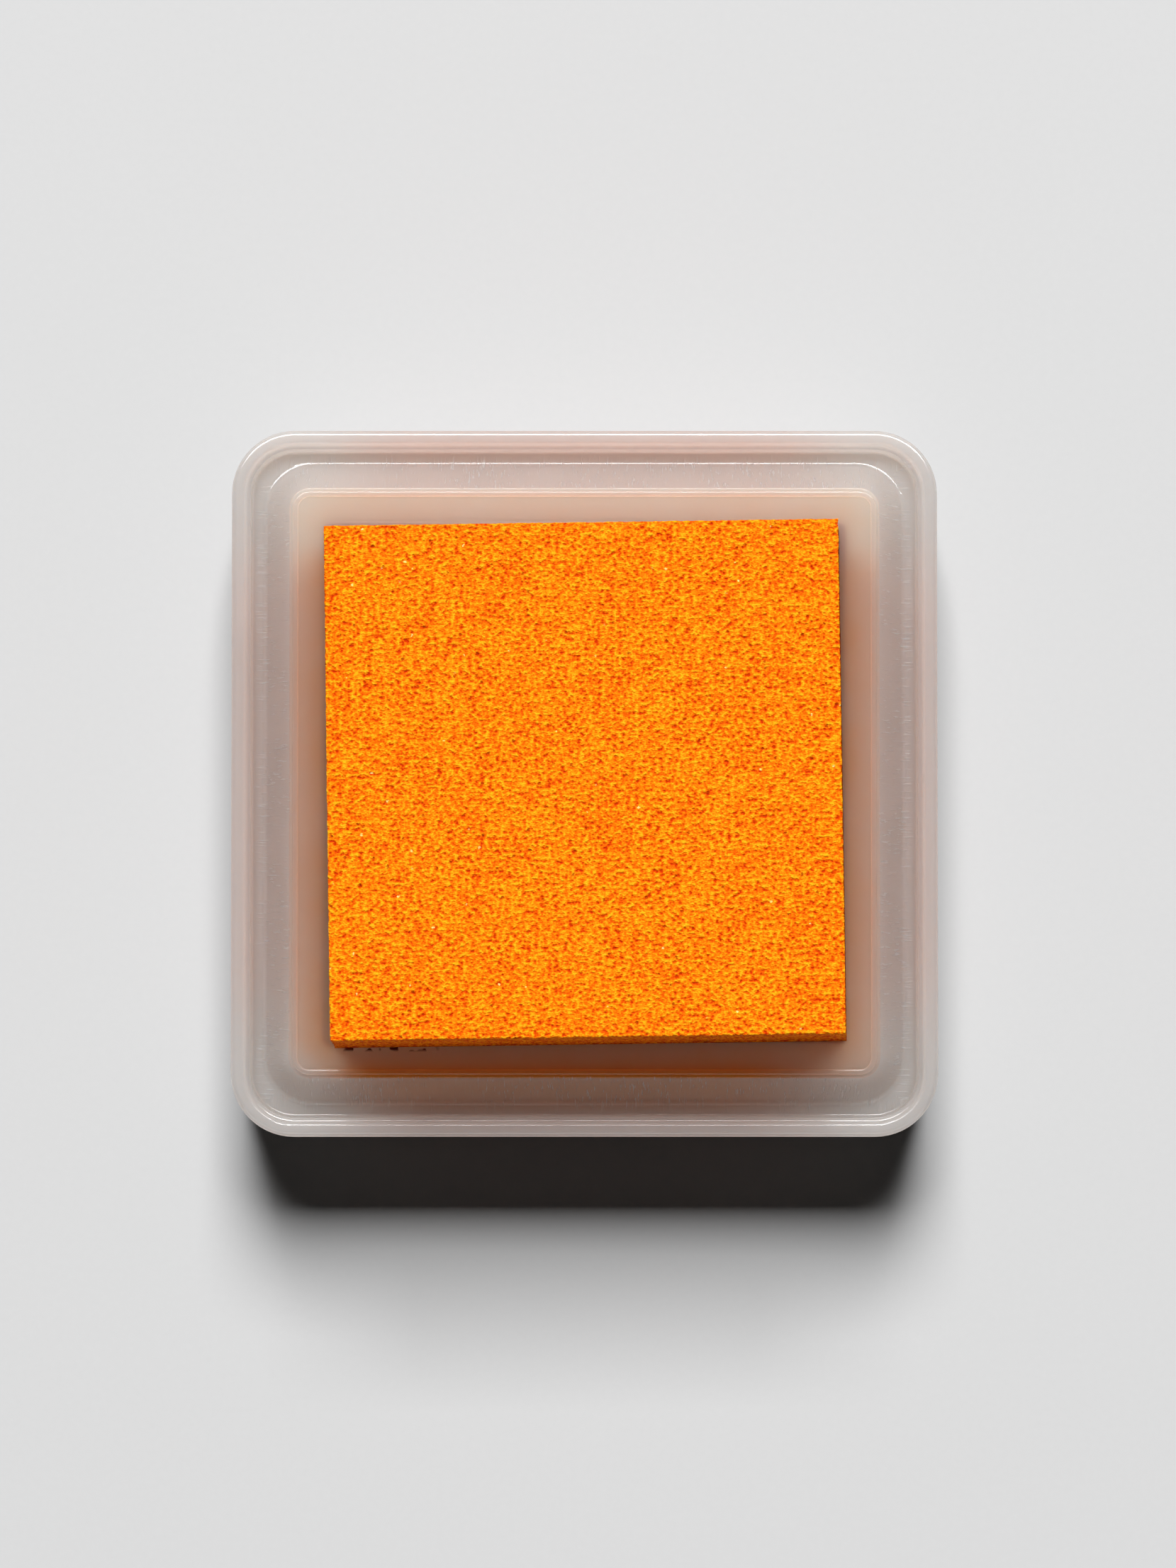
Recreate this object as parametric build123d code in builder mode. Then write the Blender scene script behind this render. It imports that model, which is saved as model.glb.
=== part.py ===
from build123d import *
import os
from math import atan2, degrees

# A small craft ink pad without its lid: a translucent moulded case base, an adhesive film
# on its plinth and a square of inked foam stuck to the film.
# Millimetres. +Z is up, +Y is the back, the origin is the centre of the footprint at the table.

# Case base, outside
CASE_WIDTH = 34.0  # at the top of the rim
CASE_CORNER = 3.05  # radius at the top of the rim
RIM_TOP = 8.0
OUTER_DRAFT = 0.5  # degrees, so the foot is a little wider than the rim
WALL = 1.2
RIM_EDGE_ROUND = 0.28
FOOT_EDGE_ROUND = 0.2

# Step and groove that take the skirt of a lid, with insets from the outside of the rim
STEP_INSET = 0.68
STEP_DEPTH = 0.25
STEP_ROUND = 0.15
GROOVE_INSET = 0.90  # top of the groove's outer wall
GROOVE_FOOT_INSET = 0.95  # the same wall at the groove's floor
GROOVE_FLOOR = 7.0
GROOVE_ROUND = 0.12

# Plinth that carries the foam
PLINTH_TOP = 9.0
PLINTH_WIDTH = 28.2  # at its top
PLINTH_CORNER = 0.95  # at its top
PLINTH_FOOT_INSET = 1.6  # from the outside of the rim to the foot of the slope
COVE_ROUND = 0.35
PLINTH_EDGE_ROUND = 0.05
BEAD_INSET = 0.12  # from the plinth's top edge to the fine raised bead along it
BEAD_WIDTH = 0.28
BEAD_HEIGHT = 0.12
BEAD_ROUND = 0.09

# Crossed ribs under the plinth
RIB_LENGTH = 22.0
RIB_THICKNESS = 1.0
RIB_DEPTH = 2.0

# Adhesive film and foam
FILM_WIDTH = 25.0
FILM_THICKNESS = 0.12
FILM_CORNER = 0.3
FOAM_WIDTH = 24.1
FOAM_HEIGHT = 5.0
FOAM_TURN = 0.8  # degrees, because it is stuck on slightly askew

# Derived sizes
step_width = CASE_WIDTH - 2 * STEP_INSET
step_corner = CASE_CORNER - STEP_INSET
groove_width = CASE_WIDTH - 2 * GROOVE_INSET
groove_corner = CASE_CORNER - GROOVE_INSET
groove_depth = RIM_TOP - STEP_DEPTH - GROOVE_FLOOR
groove_taper = degrees(atan2(GROOVE_FOOT_INSET - GROOVE_INSET, groove_depth))

plinth_foot_width = CASE_WIDTH - 2 * PLINTH_FOOT_INSET
plinth_rise = PLINTH_TOP - GROOVE_FLOOR
slope_run = (plinth_foot_width - PLINTH_WIDTH) / 2
slope_taper = degrees(atan2(slope_run, plinth_rise))
plinth_foot_corner = PLINTH_CORNER + slope_run
bead_width = PLINTH_WIDTH - 2 * BEAD_INSET
bead_corner = PLINTH_CORNER - BEAD_INSET
bead_inner_width = bead_width - 2 * BEAD_WIDTH
bead_inner_corner = bead_corner - BEAD_WIDTH

case_hollow_width = CASE_WIDTH - 2 * WALL
case_hollow_corner = CASE_CORNER - WALL
case_hollow_top = GROOVE_FLOOR - WALL
slope_per_mm = slope_run / plinth_rise
slope_wall = WALL * (1 + slope_per_mm**2) ** 0.5  # the slope's wall measured level
plinth_hollow_width = plinth_foot_width + 2 * (WALL * slope_per_mm - slope_wall)
plinth_hollow_rise = PLINTH_TOP - WALL - case_hollow_top

film_top = PLINTH_TOP + FILM_THICKNESS


def level_face(part, height):
    """The part's upward flat face at this height."""
    level = part.faces().filter_by(Axis.Z)
    return level.filter_by_position(Axis.Z, height - 0.01, height + 0.01)[0]


with BuildPart() as case_base:
    # outer block, wider at the foot
    with BuildSketch(Plane.XY.offset(RIM_TOP)):
        RectangleRounded(CASE_WIDTH, CASE_WIDTH, CASE_CORNER)
    extrude(amount=-RIM_TOP, taper=-OUTER_DRAFT)
    fillet(case_base.faces().sort_by(Axis.Z)[-1].edges(), RIM_EDGE_ROUND)
    fillet(case_base.faces().sort_by(Axis.Z)[0].edges(), FOOT_EDGE_ROUND)

    # step inside the rim, then the groove's outer wall below it
    with BuildSketch(Plane.XY.offset(RIM_TOP)):
        RectangleRounded(step_width, step_width, step_corner)
    extrude(amount=-STEP_DEPTH, mode=Mode.SUBTRACT)
    with BuildSketch(Plane.XY.offset(RIM_TOP - STEP_DEPTH)):
        RectangleRounded(groove_width, groove_width, groove_corner)
    extrude(amount=-groove_depth, taper=groove_taper, mode=Mode.SUBTRACT)

    # plinth with sloping sides
    with BuildSketch(Plane.XY.offset(GROOVE_FLOOR)):
        RectangleRounded(plinth_foot_width, plinth_foot_width, plinth_foot_corner)
    extrude(amount=plinth_rise, taper=slope_taper)

    # rounded edges of the step and the groove
    rim_land = level_face(case_base, RIM_TOP)
    fillet(rim_land.inner_wires()[0].edges(), STEP_ROUND)
    ledge = level_face(case_base, RIM_TOP - STEP_DEPTH)
    fillet(ledge.outer_wire().edges(), STEP_ROUND)
    floor = level_face(case_base, GROOVE_FLOOR)
    fillet(floor.outer_wire().edges(), GROOVE_ROUND)
    floor = level_face(case_base, GROOVE_FLOOR)
    fillet(floor.inner_wires()[0].edges(), COVE_ROUND)

    # rounded top edge of the plinth, and the bead along it
    fillet(level_face(case_base, PLINTH_TOP).edges(), PLINTH_EDGE_ROUND)
    with BuildSketch(Plane.XY.offset(PLINTH_TOP)):
        RectangleRounded(bead_width, bead_width, bead_corner)
        RectangleRounded(
            bead_inner_width, bead_inner_width, bead_inner_corner, mode=Mode.SUBTRACT
        )
    extrude(amount=BEAD_HEIGHT)
    bead_top = level_face(case_base, PLINTH_TOP + BEAD_HEIGHT)
    fillet(bead_top.edges(), BEAD_ROUND)

    # hollow underside, first inside the outer wall and then up into the plinth
    with BuildSketch(Plane.XY):
        RectangleRounded(case_hollow_width, case_hollow_width, case_hollow_corner)
    extrude(amount=case_hollow_top, mode=Mode.SUBTRACT)
    with BuildSketch(Plane.XY.offset(case_hollow_top)):
        RectangleRounded(plinth_hollow_width, plinth_hollow_width, plinth_foot_corner)
    extrude(amount=plinth_hollow_rise, taper=slope_taper, mode=Mode.SUBTRACT)

    # crossed ribs that stiffen the plinth's top
    with BuildSketch(Plane.XY.offset(PLINTH_TOP - WALL)):
        Rectangle(RIB_LENGTH, RIB_THICKNESS)
        Rectangle(RIB_THICKNESS, RIB_LENGTH)
    extrude(amount=-RIB_DEPTH)

with BuildPart() as adhesive_film:
    with BuildSketch(Plane.XY.offset(PLINTH_TOP)):
        RectangleRounded(FILM_WIDTH, FILM_WIDTH, FILM_CORNER)
    extrude(amount=FILM_THICKNESS)

with BuildPart() as foam_pad:
    with BuildSketch(Plane.XY.offset(film_top)):
        Rectangle(FOAM_WIDTH, FOAM_WIDTH, rotation=FOAM_TURN)
    extrude(amount=FOAM_HEIGHT)

case_base.part.label = "case_base"
adhesive_film.part.label = "adhesive_film"
foam_pad.part.label = "foam_pad"

os.makedirs("parts", exist_ok=True)
export_step(case_base.part, "parts/case_base.step")
export_step(adhesive_film.part, "parts/adhesive_film.step")
export_step(foam_pad.part, "parts/foam_pad.step")
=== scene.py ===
import math

import bpy
import numpy as np
from mathutils import Matrix, Vector, noise

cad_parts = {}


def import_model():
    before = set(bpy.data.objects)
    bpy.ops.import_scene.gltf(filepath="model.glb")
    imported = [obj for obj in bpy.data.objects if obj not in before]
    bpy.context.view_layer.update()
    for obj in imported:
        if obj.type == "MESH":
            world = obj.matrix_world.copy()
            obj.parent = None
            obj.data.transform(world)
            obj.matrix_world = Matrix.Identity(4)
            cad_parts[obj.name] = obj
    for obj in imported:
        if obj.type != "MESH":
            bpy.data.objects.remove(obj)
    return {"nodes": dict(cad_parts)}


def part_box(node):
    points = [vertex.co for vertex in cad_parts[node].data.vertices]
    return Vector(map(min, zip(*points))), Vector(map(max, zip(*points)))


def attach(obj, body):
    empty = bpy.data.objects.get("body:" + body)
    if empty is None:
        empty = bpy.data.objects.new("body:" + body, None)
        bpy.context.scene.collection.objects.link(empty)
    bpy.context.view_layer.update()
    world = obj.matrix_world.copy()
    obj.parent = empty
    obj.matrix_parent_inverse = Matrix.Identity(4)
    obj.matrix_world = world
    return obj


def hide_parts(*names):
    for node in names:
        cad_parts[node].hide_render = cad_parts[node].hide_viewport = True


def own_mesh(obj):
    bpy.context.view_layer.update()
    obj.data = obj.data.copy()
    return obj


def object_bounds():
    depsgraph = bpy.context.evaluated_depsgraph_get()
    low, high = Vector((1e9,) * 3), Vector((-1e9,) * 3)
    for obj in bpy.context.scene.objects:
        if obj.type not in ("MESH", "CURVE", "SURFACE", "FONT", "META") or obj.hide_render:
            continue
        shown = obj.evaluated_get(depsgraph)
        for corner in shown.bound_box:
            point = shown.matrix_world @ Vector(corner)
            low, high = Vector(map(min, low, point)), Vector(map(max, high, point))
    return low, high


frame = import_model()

MM = 0.001
cad_low, cad_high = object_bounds()

# Where the CAD stands, in metres
film_low, film_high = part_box("adhesive_film")
foam_low, foam_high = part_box("foam_pad")
foam_middle = (foam_low + foam_high) / 2
foam_height = foam_high.z - foam_low.z
plinth_top = film_low.z

# The foam as cut and stuck down
FOAM_WIDTH = 24.1 * MM
FOAM_TURN = math.radians(0.8)
FOAM_STEP = 0.1 * MM  # between points on the top face
FOAM_SIDE_STEP = 0.15 * MM  # between rows of points up the sides
FOOT_SPREAD = {"left": 0.05 * MM, "right": 0.3 * MM, "front": 0.48 * MM, "back": -0.1 * MM}
GRAIN = 0.21 * MM  # size of an open cell
ROUGHNESS = 0.07 * MM  # depth of an open cell
CUT_WAVE, CUT_WAVE_DEPTH = 2.2 * MM, 0.07 * MM  # long waves in the cut sides
CUT_TEAR, CUT_TEAR_DEPTH = 0.4 * MM, 0.12 * MM  # small tears in the cut sides

# The plastic
THROUGH = 0.6  # the share of light that the case's walls let through
MILKY = (0.81, 0.77, 0.74, 1), (0.85, 0.81, 0.78, 1)
# partly ink, partly painted orange light thrown from the foam onto the plastic beside it
INK_AND_FOAM_BOUNCE = (0.845, 0.735, 0.69, 1)  # beside the foam
# painted orange light from the foam on the slope in front of it
PAINTED_FOAM_BOUNCE = (0.93, 0.56, 0.34, 1)  # the slope in front of the foam
SCUFFED = (0.99, 0.97, 0.96, 1)
CLEAR_FILM = (0.85, 0.76, 0.70, 1), (0.88, 0.79, 0.73, 1)

# The ink, and painted light among it
# paler at the back of the foam: painted light from the back
PAINTED_BACK_LIGHT = (0.98, 0.89, 0.81, 1)  # hardly any, behind the foam
TINTED = (0.98, 0.50, 0.26, 1)
# ink in front of the foam, with painted orange light from the foam in its shadow
POOLED_INK_AND_FOAM_LIGHT = (0.98, 0.30, 0.006, 1)
DRIED = (0.16, 0.012, 0.001, 1)

# Floor, lights and camera
FLOOR_HALF = 1.5
FLOOR_GREY = (0.295, 0.295, 0.296, 1), (0.305, 0.305, 0.306, 1)
LIGHT_DISTANCE = 2.5
WORLD_STRENGTH = 0.02
LENS, SENSOR = 100, 36
VIEW_HEIGHT = 75.4 * MM  # seen at the height of the rim
LEAN = math.radians(1.6)
AIM = Vector((0.17 * MM, -0.05 * MM, 8.0 * MM))  # at the height of the rim


# ---------------------------------------------------------------- shader building

class Shader:
    """A material being made. A socket takes a value or another node's output."""

    def __init__(self, name):
        self.material = bpy.data.materials.new(name)
        self.material.use_nodes = True
        self.tree = self.material.node_tree
        self.tree.nodes.clear()
        self.output = self.add("ShaderNodeOutputMaterial")
        self.place = self.add("ShaderNodeTexCoord").outputs["Object"]

    def add(self, kind, inputs=None, **settings):
        made = self.tree.nodes.new(kind)
        for key, value in settings.items():
            setattr(made, key, value)
        for key, value in (inputs or {}).items():
            if isinstance(value, bpy.types.NodeSocket):
                self.tree.links.new(value, made.inputs[key])
            else:
                made.inputs[key].default_value = value
        return made

    def maths(self, operation, a, b=0.0):
        return self.add("ShaderNodeMath", {0: a, 1: b}, operation=operation).outputs[0]

    def times(self, product, *factors):
        for factor in factors:
            product = self.maths("MULTIPLY", product, factor)
        return product

    def axis(self, letter):
        return self.add("ShaderNodeSeparateXYZ", {0: self.place}).outputs[letter]

    def beyond(self, half):
        """Metres from an upright square block of this half width about the middle, 0 inside it."""
        sides = []
        for letter in "XY":
            outside = self.maths("SUBTRACT", self.maths("ABSOLUTE", self.axis(letter)), half)
            sides.append(self.maths("POWER", self.maths("MAXIMUM", outside, 0.0), 2.0))
        return self.maths("SQRT", self.maths("ADD", *sides))

    def rise(self, value, low, high, bottom=0.0, top=1.0):
        """bottom below low, top above high, smooth between."""
        inputs = {"Value": value, 1: low, 2: high, 3: bottom, 4: top}
        made = self.add("ShaderNodeMapRange", inputs, interpolation_type="SMOOTHSTEP")
        return made.outputs[0]

    def noise(self, size, detail=3.0, roughness=0.55, stretch=(1, 1, 1), shift=0.0):
        """Noise from 0 to 1 with features of this size in metres."""
        inputs = {
            "Vector": self.place,
            "Scale": [1 / (size * s) for s in stretch],
            "Location": (shift, shift * 0.7, -shift),
        }
        mapped = self.add("ShaderNodeMapping", inputs).outputs[0]
        inputs = {"Vector": mapped, "Scale": 1.0, "Detail": detail, "Roughness": roughness}
        return self.add("ShaderNodeTexNoise", inputs).outputs[0]

    def spots(self, size, shift=0.0):
        """Metres from the nearest of scattered points, about size apart."""
        inputs = {"Vector": self.place, "Location": (shift * 0.37, shift * 0.11, shift * 0.23)}
        moved = self.add("ShaderNodeMapping", inputs).outputs[0]
        found = self.add("ShaderNodeTexVoronoi", {"Vector": moved, "Scale": 1 / size})
        return self.maths("MULTIPLY", found.outputs["Distance"], size)

    def mix(self, factor, a, b):
        """From colour a to colour b. The node's colour sockets are 6, 7 and 2."""
        return self.add("ShaderNodeMix", {0: factor, 6: a, 7: b}, data_type="RGBA").outputs[2]

    def ramp(self, factor, *stops):
        made = self.add("ShaderNodeValToRGB", {0: factor})
        elements = made.color_ramp.elements
        while len(elements) < len(stops):
            elements.new(0.5)
        for element, (position, colour) in zip(elements, stops):
            element.position = position
            element.color = colour
        return made.outputs[0]

    def bump(self, height, distance, normal=None):
        inputs = {"Height": height, "Distance": distance, "Strength": 1.0}
        if normal is not None:
            inputs["Normal"] = normal
        return self.add("ShaderNodeBump", inputs).outputs[0]

    def finish(self, shader):
        self.tree.links.new(shader.outputs[0], self.output.inputs["Surface"])
        return self.material

    def finish_mixed(self, solid, through):
        """The solid look, with the plastic's share of light let through."""
        inputs = {0: THROUGH, 1: solid.outputs[0], 2: through.outputs[0]}
        return self.finish(self.add("ShaderNodeMixShader", inputs))


# ---------------------------------------------------------------- materials

def stained(s, plain):
    """The plain plastic with ink on it, deeper near the foam and deepest in front of it. Behind the
    foam it is painted paler, as painted light from the back; in front, painted orange light from the
    foam lies in the foam's shadow.
    """
    x, y = s.axis("X"), s.axis("Y")
    away = s.beyond(FOAM_WIDTH / 2)
    patches = s.rise(s.noise(3 * MM, detail=3, shift=3.0), 0.2, 0.8, 0.75, 1.0)
    # behind the foam the plastic is painted paler and its ink tint halved: painted light from the back
    behind = s.rise(y, 9 * MM, 12.5 * MM)
    less_behind = s.rise(behind, 0.0, 1.0, 1.0, 0.5)
    near = s.times(s.rise(away, 0.0, 2.9 * MM, 1.0, 0.2), patches, less_behind)
    tinted = s.mix(near, s.mix(behind, plain, PAINTED_BACK_LIGHT), TINTED)

    # ink deepest in front, with painted orange light from the foam in its shadow, but not at the two
    # corners
    front = s.times(
        s.rise(y, -14.4 * MM, -12.3 * MM, 1.0, 0.0),
        s.rise(x, 7 * MM, 13 * MM, 1.0, 0.1),
        s.rise(x, -13 * MM, -10 * MM),
    )
    pooled_ink_and_foam_light = s.mix(front, tinted, POOLED_INK_AND_FOAM_LIGHT)

    # blots of dried ink along the foot of the foam, towards its left end
    strip = s.times(
        s.rise(y, -12.9 * MM, -12.75 * MM),
        s.rise(y, -12.4 * MM, -12.3 * MM, 1.0, 0.0),
        s.rise(x, -11.8 * MM, -11.3 * MM),
        s.rise(x, -7.4 * MM, -6.8 * MM, 1.0, 0.0),
    )
    blots = s.rise(s.noise(0.55 * MM, detail=1, stretch=(1, 1, 4), shift=6.0), 0.50, 0.58)
    return s.mix(s.times(strip, blots), pooled_ink_and_foam_light, DRIED)


def case_material():
    """Frosted polypropylene: light passes its walls, satin gloss, scuffed slopes, ink on the plinth,
    with painted light: orange light from the foam beside and in front of it, paler behind it.
    """
    s = Shader("frosted_polypropylene")
    x, y, z = s.axis("X"), s.axis("Y"), s.axis("Z")
    across, along = s.maths("ABSOLUTE", x), s.maths("ABSOLUTE", y)
    reach = s.maths("MAXIMUM", across, along)

    # milky plastic, with a breath of ink and painted orange light from the foam on what faces the foam
    plain = s.mix(s.noise(6 * MM, detail=2), *MILKY)
    beside = s.rise(s.maths("MINIMUM", across, along), 8 * MM, 14 * MM, 1.0, 0.0)
    ink_and_bounce_tinted = s.mix(s.times(beside, 0.8), plain, INK_AND_FOAM_BOUNCE)
    # painted orange light from the foam on the front slope, weaker at the left end
    front_slope = s.times(
        s.rise(y, -16.2 * MM, -14.6 * MM),
        s.rise(x, 6 * MM, 13 * MM, 1.0, 0.0),
        s.rise(y, -14.0 * MM, -13.6 * MM, 1.0, 0.0),
        s.rise(x, -13 * MM, -8 * MM, 0.0, 0.75),
    )
    ink_and_bounce_tinted = s.mix(front_slope, ink_and_bounce_tinted, PAINTED_FOAM_BOUNCE)
    on_plinth = s.rise(z, plinth_top - 0.10 * MM, plinth_top - 0.01 * MM)
    # the plinth takes the ink and its painted light
    ink_and_painted_light = s.mix(on_plinth, ink_and_bounce_tinted, stained(s, ink_and_bounce_tinted))

    # scuffs run up and down the slope: lines along x at the sides, along y at front and back
    on_slope = s.times(
        s.rise(reach, 14.0 * MM, 14.3 * MM),
        s.rise(reach, 15.3 * MM, 16.0 * MM, 1.0, 0.0),
    )
    side_lines = s.noise(0.09 * MM, detail=2, stretch=(14, 1, 8))
    end_lines = s.noise(0.09 * MM, detail=2, stretch=(1, 14, 8), shift=2.0)
    at_side = s.maths("GREATER_THAN", across, along)
    lines = s.add("ShaderNodeMix", {0: at_side, 2: end_lines, 3: side_lines}).outputs[0]
    worn = s.rise(s.noise(2.5 * MM, detail=2, shift=5.0), 0.38, 0.62, 0.15, 1.0)
    scuff = s.times(on_slope, worn, s.rise(lines, 0.54, 0.70))
    colour = s.mix(s.times(scuff, 0.8), ink_and_painted_light, SCUFFED)

    smudge = s.noise(2.2 * MM, detail=4, shift=9.0)
    roughness = s.maths("ADD", s.rise(smudge, 0.3, 0.7, 0.12, 0.20), s.times(scuff, 0.25))
    texture = s.bump(s.noise(0.12 * MM, detail=2), 0.003 * MM)
    normal = s.bump(scuff, 0.05 * MM, normal=texture)
    solid = s.add("ShaderNodeBsdfPrincipled", {
        "Base Color": colour,
        "Roughness": roughness,
        "IOR": 1.49,
        "Specular IOR Level": 1.0,
        "Coat Weight": 1.0,
        "Coat IOR": 2.0,
        "Coat Roughness": 0.08,
        "Subsurface Weight": 1.0,
        "Subsurface Radius": (1.0, 0.85, 0.75),
        "Subsurface Scale": 2.0 * MM,
        "Normal": normal,
    })
    through = s.add("ShaderNodeBsdfTranslucent", {"Color": colour, "Normal": normal})
    return s.finish_mixed(solid, through)


def foam_material():
    """Ink-filled open-cell foam: yellow-orange crests and red hollows, partly deeper ink and partly
    painted shade, pores painted dark as shade, and a few painted wet glints.
    """
    s = Shader("inked_foam")
    height = s.add("ShaderNodeAttribute", attribute_name="strut").outputs["Fac"]
    grain = s.noise(0.15 * MM, detail=1, roughness=0.6, stretch=(1.3, 1, 1))
    drift = s.noise(1.4 * MM, detail=2, shift=4.0)
    # the colour follows the relief: hollows darker and redder, partly deeper ink and partly painted
    # shade; drift adds random tone
    level = s.maths("ADD", s.times(height, 0.25), s.times(grain, 0.75))
    level = s.maths("ADD", level, s.times(s.maths("SUBTRACT", drift, 0.5), 0.12))
    colour = s.ramp(
        level,
        (0.31, (0.58, 0.030, 0.0003, 1)),
        (0.41, (0.84, 0.115, 0.001, 1)),
        (0.51, (0.93, 0.215, 0.002, 1)),
        (0.66, (0.97, 0.42, 0.008, 1)),
    )

    # pores painted dark as shade and wet glints painted as highlights, both with ragged outlines
    ragged = s.times(s.noise(0.1 * MM, detail=2, shift=8.0), 0.2 * MM)
    from_pore = s.maths("ADD", s.spots(0.7 * MM, shift=1.0), ragged)
    pore = s.rise(from_pore, 0.12 * MM, 0.20 * MM, 1.0, 0.0)
    # painted shade in the pores
    colour = s.mix(s.times(pore, 0.8), colour, (0.42, 0.022, 0.0004, 1))
    # painted highlight: pale yellow wet glints, also less rough
    from_glint = s.maths("ADD", s.spots(1.1 * MM, shift=2.0), ragged)
    painted_glint = s.rise(from_glint, 0.13 * MM, 0.17 * MM, 1.0, 0.0)
    colour = s.mix(s.times(painted_glint, 0.8), colour, (1.0, 0.80, 0.25, 1))
    roughness = s.maths("SUBTRACT", 0.75, s.times(painted_glint, 0.4))
    relief = s.maths("SUBTRACT", grain, s.times(pore, 0.3))

    # the cut sides are painted darker and redder than the top: painted shade
    side_shade = s.rise(s.axis("Z"), foam_high.z - 0.5 * MM, foam_high.z - 0.15 * MM, 0.75, 0.0)
    side_shade_colour = s.ramp(grain, (0.4, (0.55, 0.035, 0.0003, 1)), (0.6, (0.90, 0.16, 0.001, 1)))
    colour = s.mix(side_shade, colour, side_shade_colour)
    return s.finish(s.add("ShaderNodeBsdfPrincipled", {
        "Base Color": colour,
        "Roughness": roughness,
        "IOR": 1.3,
        "Specular IOR Level": 0.08,
        "Subsurface Weight": 0.3,
        "Subsurface Radius": (1.0, 0.3, 0.05),
        "Subsurface Scale": 0.2 * MM,
        "Normal": s.bump(relief, 0.15 * MM),
    }))


def film_material():
    """Clear adhesive film, with the same ink and painted light as the plastic under it, and glossier.
    """
    s = Shader("adhesive_film")
    colour = stained(s, s.mix(s.noise(4 * MM, detail=2), *CLEAR_FILM))
    ripple = s.noise(0.9 * MM, detail=2, shift=2.0)
    solid = s.add("ShaderNodeBsdfPrincipled", {
        "Base Color": colour,
        "Roughness": s.rise(ripple, 0.3, 0.7, 0.05, 0.12),
        "IOR": 1.47,
        "Specular IOR Level": 1.0,
        "Coat Weight": 1.0,
        "Coat IOR": 2.0,
        "Coat Roughness": 0.05,
        "Subsurface Weight": 1.0,
        "Subsurface Radius": (1.0, 0.85, 0.75),
        "Subsurface Scale": 1.0 * MM,
        "Normal": s.bump(ripple, 0.01 * MM),
    })
    through = s.add("ShaderNodeBsdfTranslucent", {"Color": colour})
    return s.finish_mixed(solid, through)


def floor_material():
    """A plain matt surface with a faint grain."""
    s = Shader("pale_surface")
    return s.finish(s.add("ShaderNodeBsdfPrincipled", {
        "Base Color": s.mix(s.noise(0.35 * MM, detail=2), *FLOOR_GREY),
        "Roughness": 0.9,
        "Specular IOR Level": 0.1,
    }))


# ---------------------------------------------------------------- meshes

def mesh_object(name, points, faces, material, smooth=True):
    mesh = bpy.data.meshes.new(name)
    mesh.from_pydata([tuple(p) for p in points], [], faces)
    mesh.update()
    mesh.polygons.foreach_set("use_smooth", [smooth] * len(mesh.polygons))
    mesh.materials.append(material)
    made = bpy.data.objects.new(name, mesh)
    bpy.context.scene.collection.objects.link(made)
    return made


def box_skin(counts):
    """The closed skin of a block of counts cells, as its points' lattice places and its faces. The
    underside is one face."""
    number = np.full([c + 1 for c in counts], -1)
    surface = np.zeros(number.shape, bool)
    surface[:, :, -1] = True
    surface[[0, -1]] = True
    surface[:, [0, -1]] = True
    places = np.argwhere(surface)
    number[surface] = np.arange(len(places))
    faces = []
    sheets = [number[:, :, -1], number[0].T, number[-1], number[:, 0], number[:, -1].T]
    for sheet in sheets:
        corners = [sheet[:-1, :-1], sheet[1:, :-1], sheet[1:, 1:], sheet[:-1, 1:]]
        faces += np.stack([c.ravel() for c in corners], axis=1).tolist()
    foot = number[:, :, 0]
    rim = [*foot[0, :-1], *foot[:-1, -1], *foot[-1, :0:-1], *foot[:0:-1, 0]]
    faces.append([int(i) for i in rim])
    return places, faces


def foam_outline(w):
    """The foam's four corners at height share w, as left-front, right-front, right-back, left-back."""
    half = FOAM_WIDTH / 2
    foot = 1 - w
    left = -half - FOOT_SPREAD["left"] * foot
    right = half + FOOT_SPREAD["right"] * foot
    front = -half - FOOT_SPREAD["front"] * foot
    back = half + FOOT_SPREAD["back"] * foot
    turn = Matrix.Rotation(FOAM_TURN, 2)
    middle = Vector((foam_middle.x, foam_middle.y))
    corners = [(left, front), (right, front), (right, back), (left, back)]
    return [middle + turn @ Vector(c) for c in corners]


def strut_height(point):
    """From about 0 in an open pore to 1 on a strut, at this place in the foam."""
    grains = noise.noise(point / GRAIN)
    lumps = noise.noise(point / (GRAIN * 2.3) + Vector((7.1, 3.3, 9.2)))
    return 0.5 + 0.55 * grains + 0.12 * lumps


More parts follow.
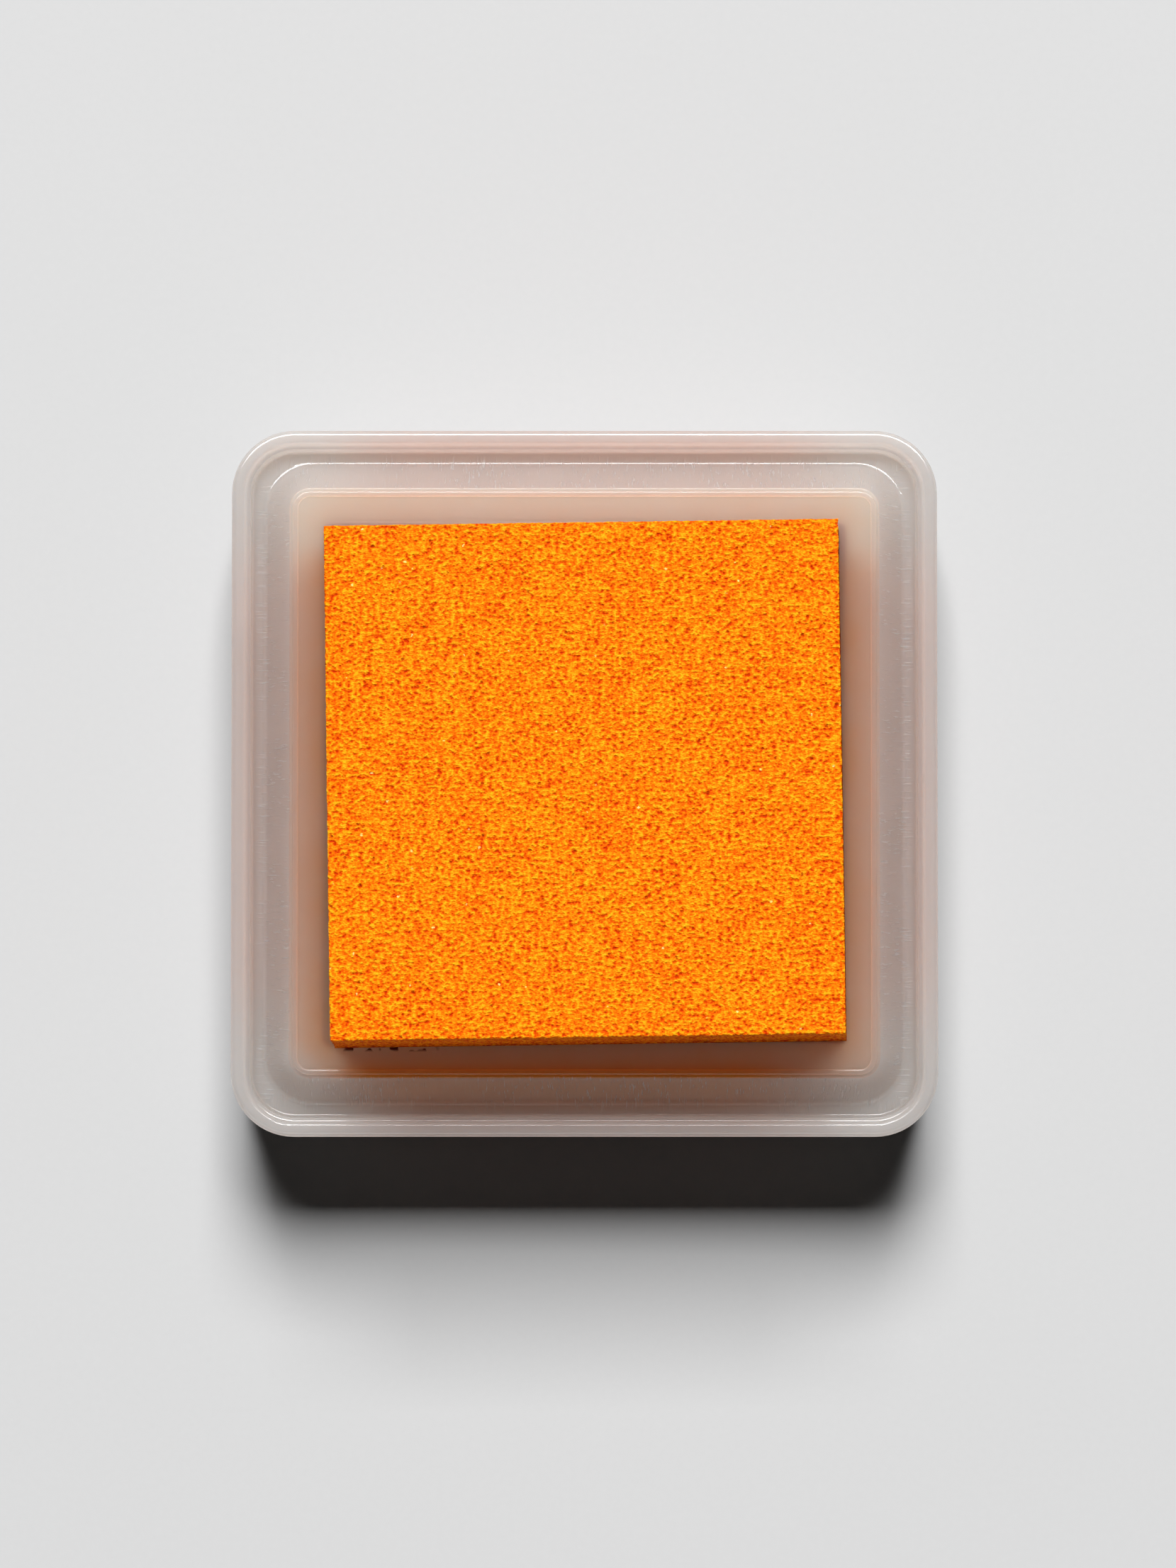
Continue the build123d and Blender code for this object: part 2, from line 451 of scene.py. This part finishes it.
def foam_piece(material):
    """The foam as one closed skin, rough with open cells, with its slanting cut sides."""
    counts = [round(FOAM_WIDTH / FOAM_STEP)] * 2 + [round(foam_height / FOAM_SIDE_STEP)]
    places, quads = box_skin(counts)
    share = places / np.array(counts)
    foot, top = foam_outline(0.0), foam_outline(1.0)
    out = np.where(places == 0, -1.0, np.where(places == counts, 1.0, 0.0))
    out /= np.linalg.norm(out, axis=1)[:, None]
    points, strut = [], []
    for (u, v, w), normal in zip(share, out):
        lf, rf, rb, lb = (a.lerp(b, w) for a, b in zip(foot, top))
        flat = lf.lerp(rf, u).lerp(lb.lerp(rb, u), v)
        point = Vector((flat.x, flat.y, foam_low.z + w * foam_height))
        outward = Vector(normal)
        level = min(1.0, max(0.0, strut_height(point)))
        depth = (1 - level) * ROUGHNESS
        if abs(outward.z) < 0.5:
            depth += abs(noise.noise(point / CUT_WAVE)) * CUT_WAVE_DEPTH
            depth += abs(noise.noise(point / CUT_TEAR)) * CUT_TEAR_DEPTH
        if outward.z < -0.5:
            depth = 0.0
        points.append(point - outward * depth)
        strut.append(level)
    piece = mesh_object("foam_block", points, quads, material)
    values = piece.data.attributes.new("strut", "FLOAT", "POINT")
    values.data.foreach_set("value", np.array(strut, np.float32))
    return piece


# ---------------------------------------------------------------- the object

for slot in frame["nodes"]["case_base"].material_slots:
    slot.material = case_material()
for slot in frame["nodes"]["adhesive_film"].material_slots:
    slot.material = film_material()

foam = foam_piece(foam_material())
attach(foam, "pad")
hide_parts("foam_pad")
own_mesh(foam)


# ---------------------------------------------------------------- floor, light, camera

def floor():
    signs = [(-1, -1), (1, -1), (1, 1), (-1, 1)]
    corners = [(x * FLOOR_HALF, y * FLOOR_HALF, 0) for x, y in signs]
    made = mesh_object("floor", corners, [(0, 1, 2, 3)], floor_material(), smooth=False)
    made.location.z = cad_low.z
    return made


def area_light(name, azimuth, elevation, size, power, lit):
    """A soft rectangle that lights only the lit pieces. Azimuth 0 is the back, 90 the right."""
    data = bpy.data.lights.new(name, "AREA")
    data.shape = "RECTANGLE"
    data.size, data.size_y = size
    data.energy = power
    made = bpy.data.objects.new(name, data)
    turn, lift = math.radians(azimuth), math.radians(elevation)
    level = math.cos(lift)
    direction = Vector((math.sin(turn) * level, math.cos(turn) * level, math.sin(lift)))
    made.location = direction * LIGHT_DISTANCE
    made.rotation_euler = direction.to_track_quat("Z", "Y").to_euler()
    bpy.context.scene.collection.objects.link(made)
    receivers = bpy.data.collections.new(name + "_lights")
    for piece in lit:
        receivers.objects.link(piece)
    made.light_linking.receiver_collection = receivers


def world():
    made = bpy.data.worlds.new("studio")
    made.use_nodes = True
    background = made.node_tree.nodes["Background"]
    background.inputs["Color"].default_value = (1, 1, 1, 1)
    background.inputs["Strength"].default_value = WORLD_STRENGTH
    bpy.context.scene.world = made


def camera():
    """Almost straight above, a touch towards the front."""
    distance = LENS / SENSOR * VIEW_HEIGHT
    data = bpy.data.cameras.new("camera")
    data.lens = LENS
    data.sensor_width = SENSOR
    data.clip_start = 0.01
    made = bpy.data.objects.new("camera", data)
    made.location = AIM + Vector((0, -math.sin(LEAN), math.cos(LEAN))) * distance
    made.rotation_euler = (LEAN, 0, 0)
    bpy.context.scene.collection.objects.link(made)
    bpy.context.scene.camera = made


ground = floor()
pieces = [frame["nodes"]["case_base"], frame["nodes"]["adhesive_film"], foam]
area_light("back_strip", 0, 52, (3.8, 1.0), 129, pieces)
area_light("front_fill", 180, 42, (5.0, 1.5), 20, pieces)
area_light("floor_strip", 0, 50.5, (0.95, 1.2), 205, [ground])
world()
camera()
bpy.context.scene.view_settings.view_transform = "Standard"
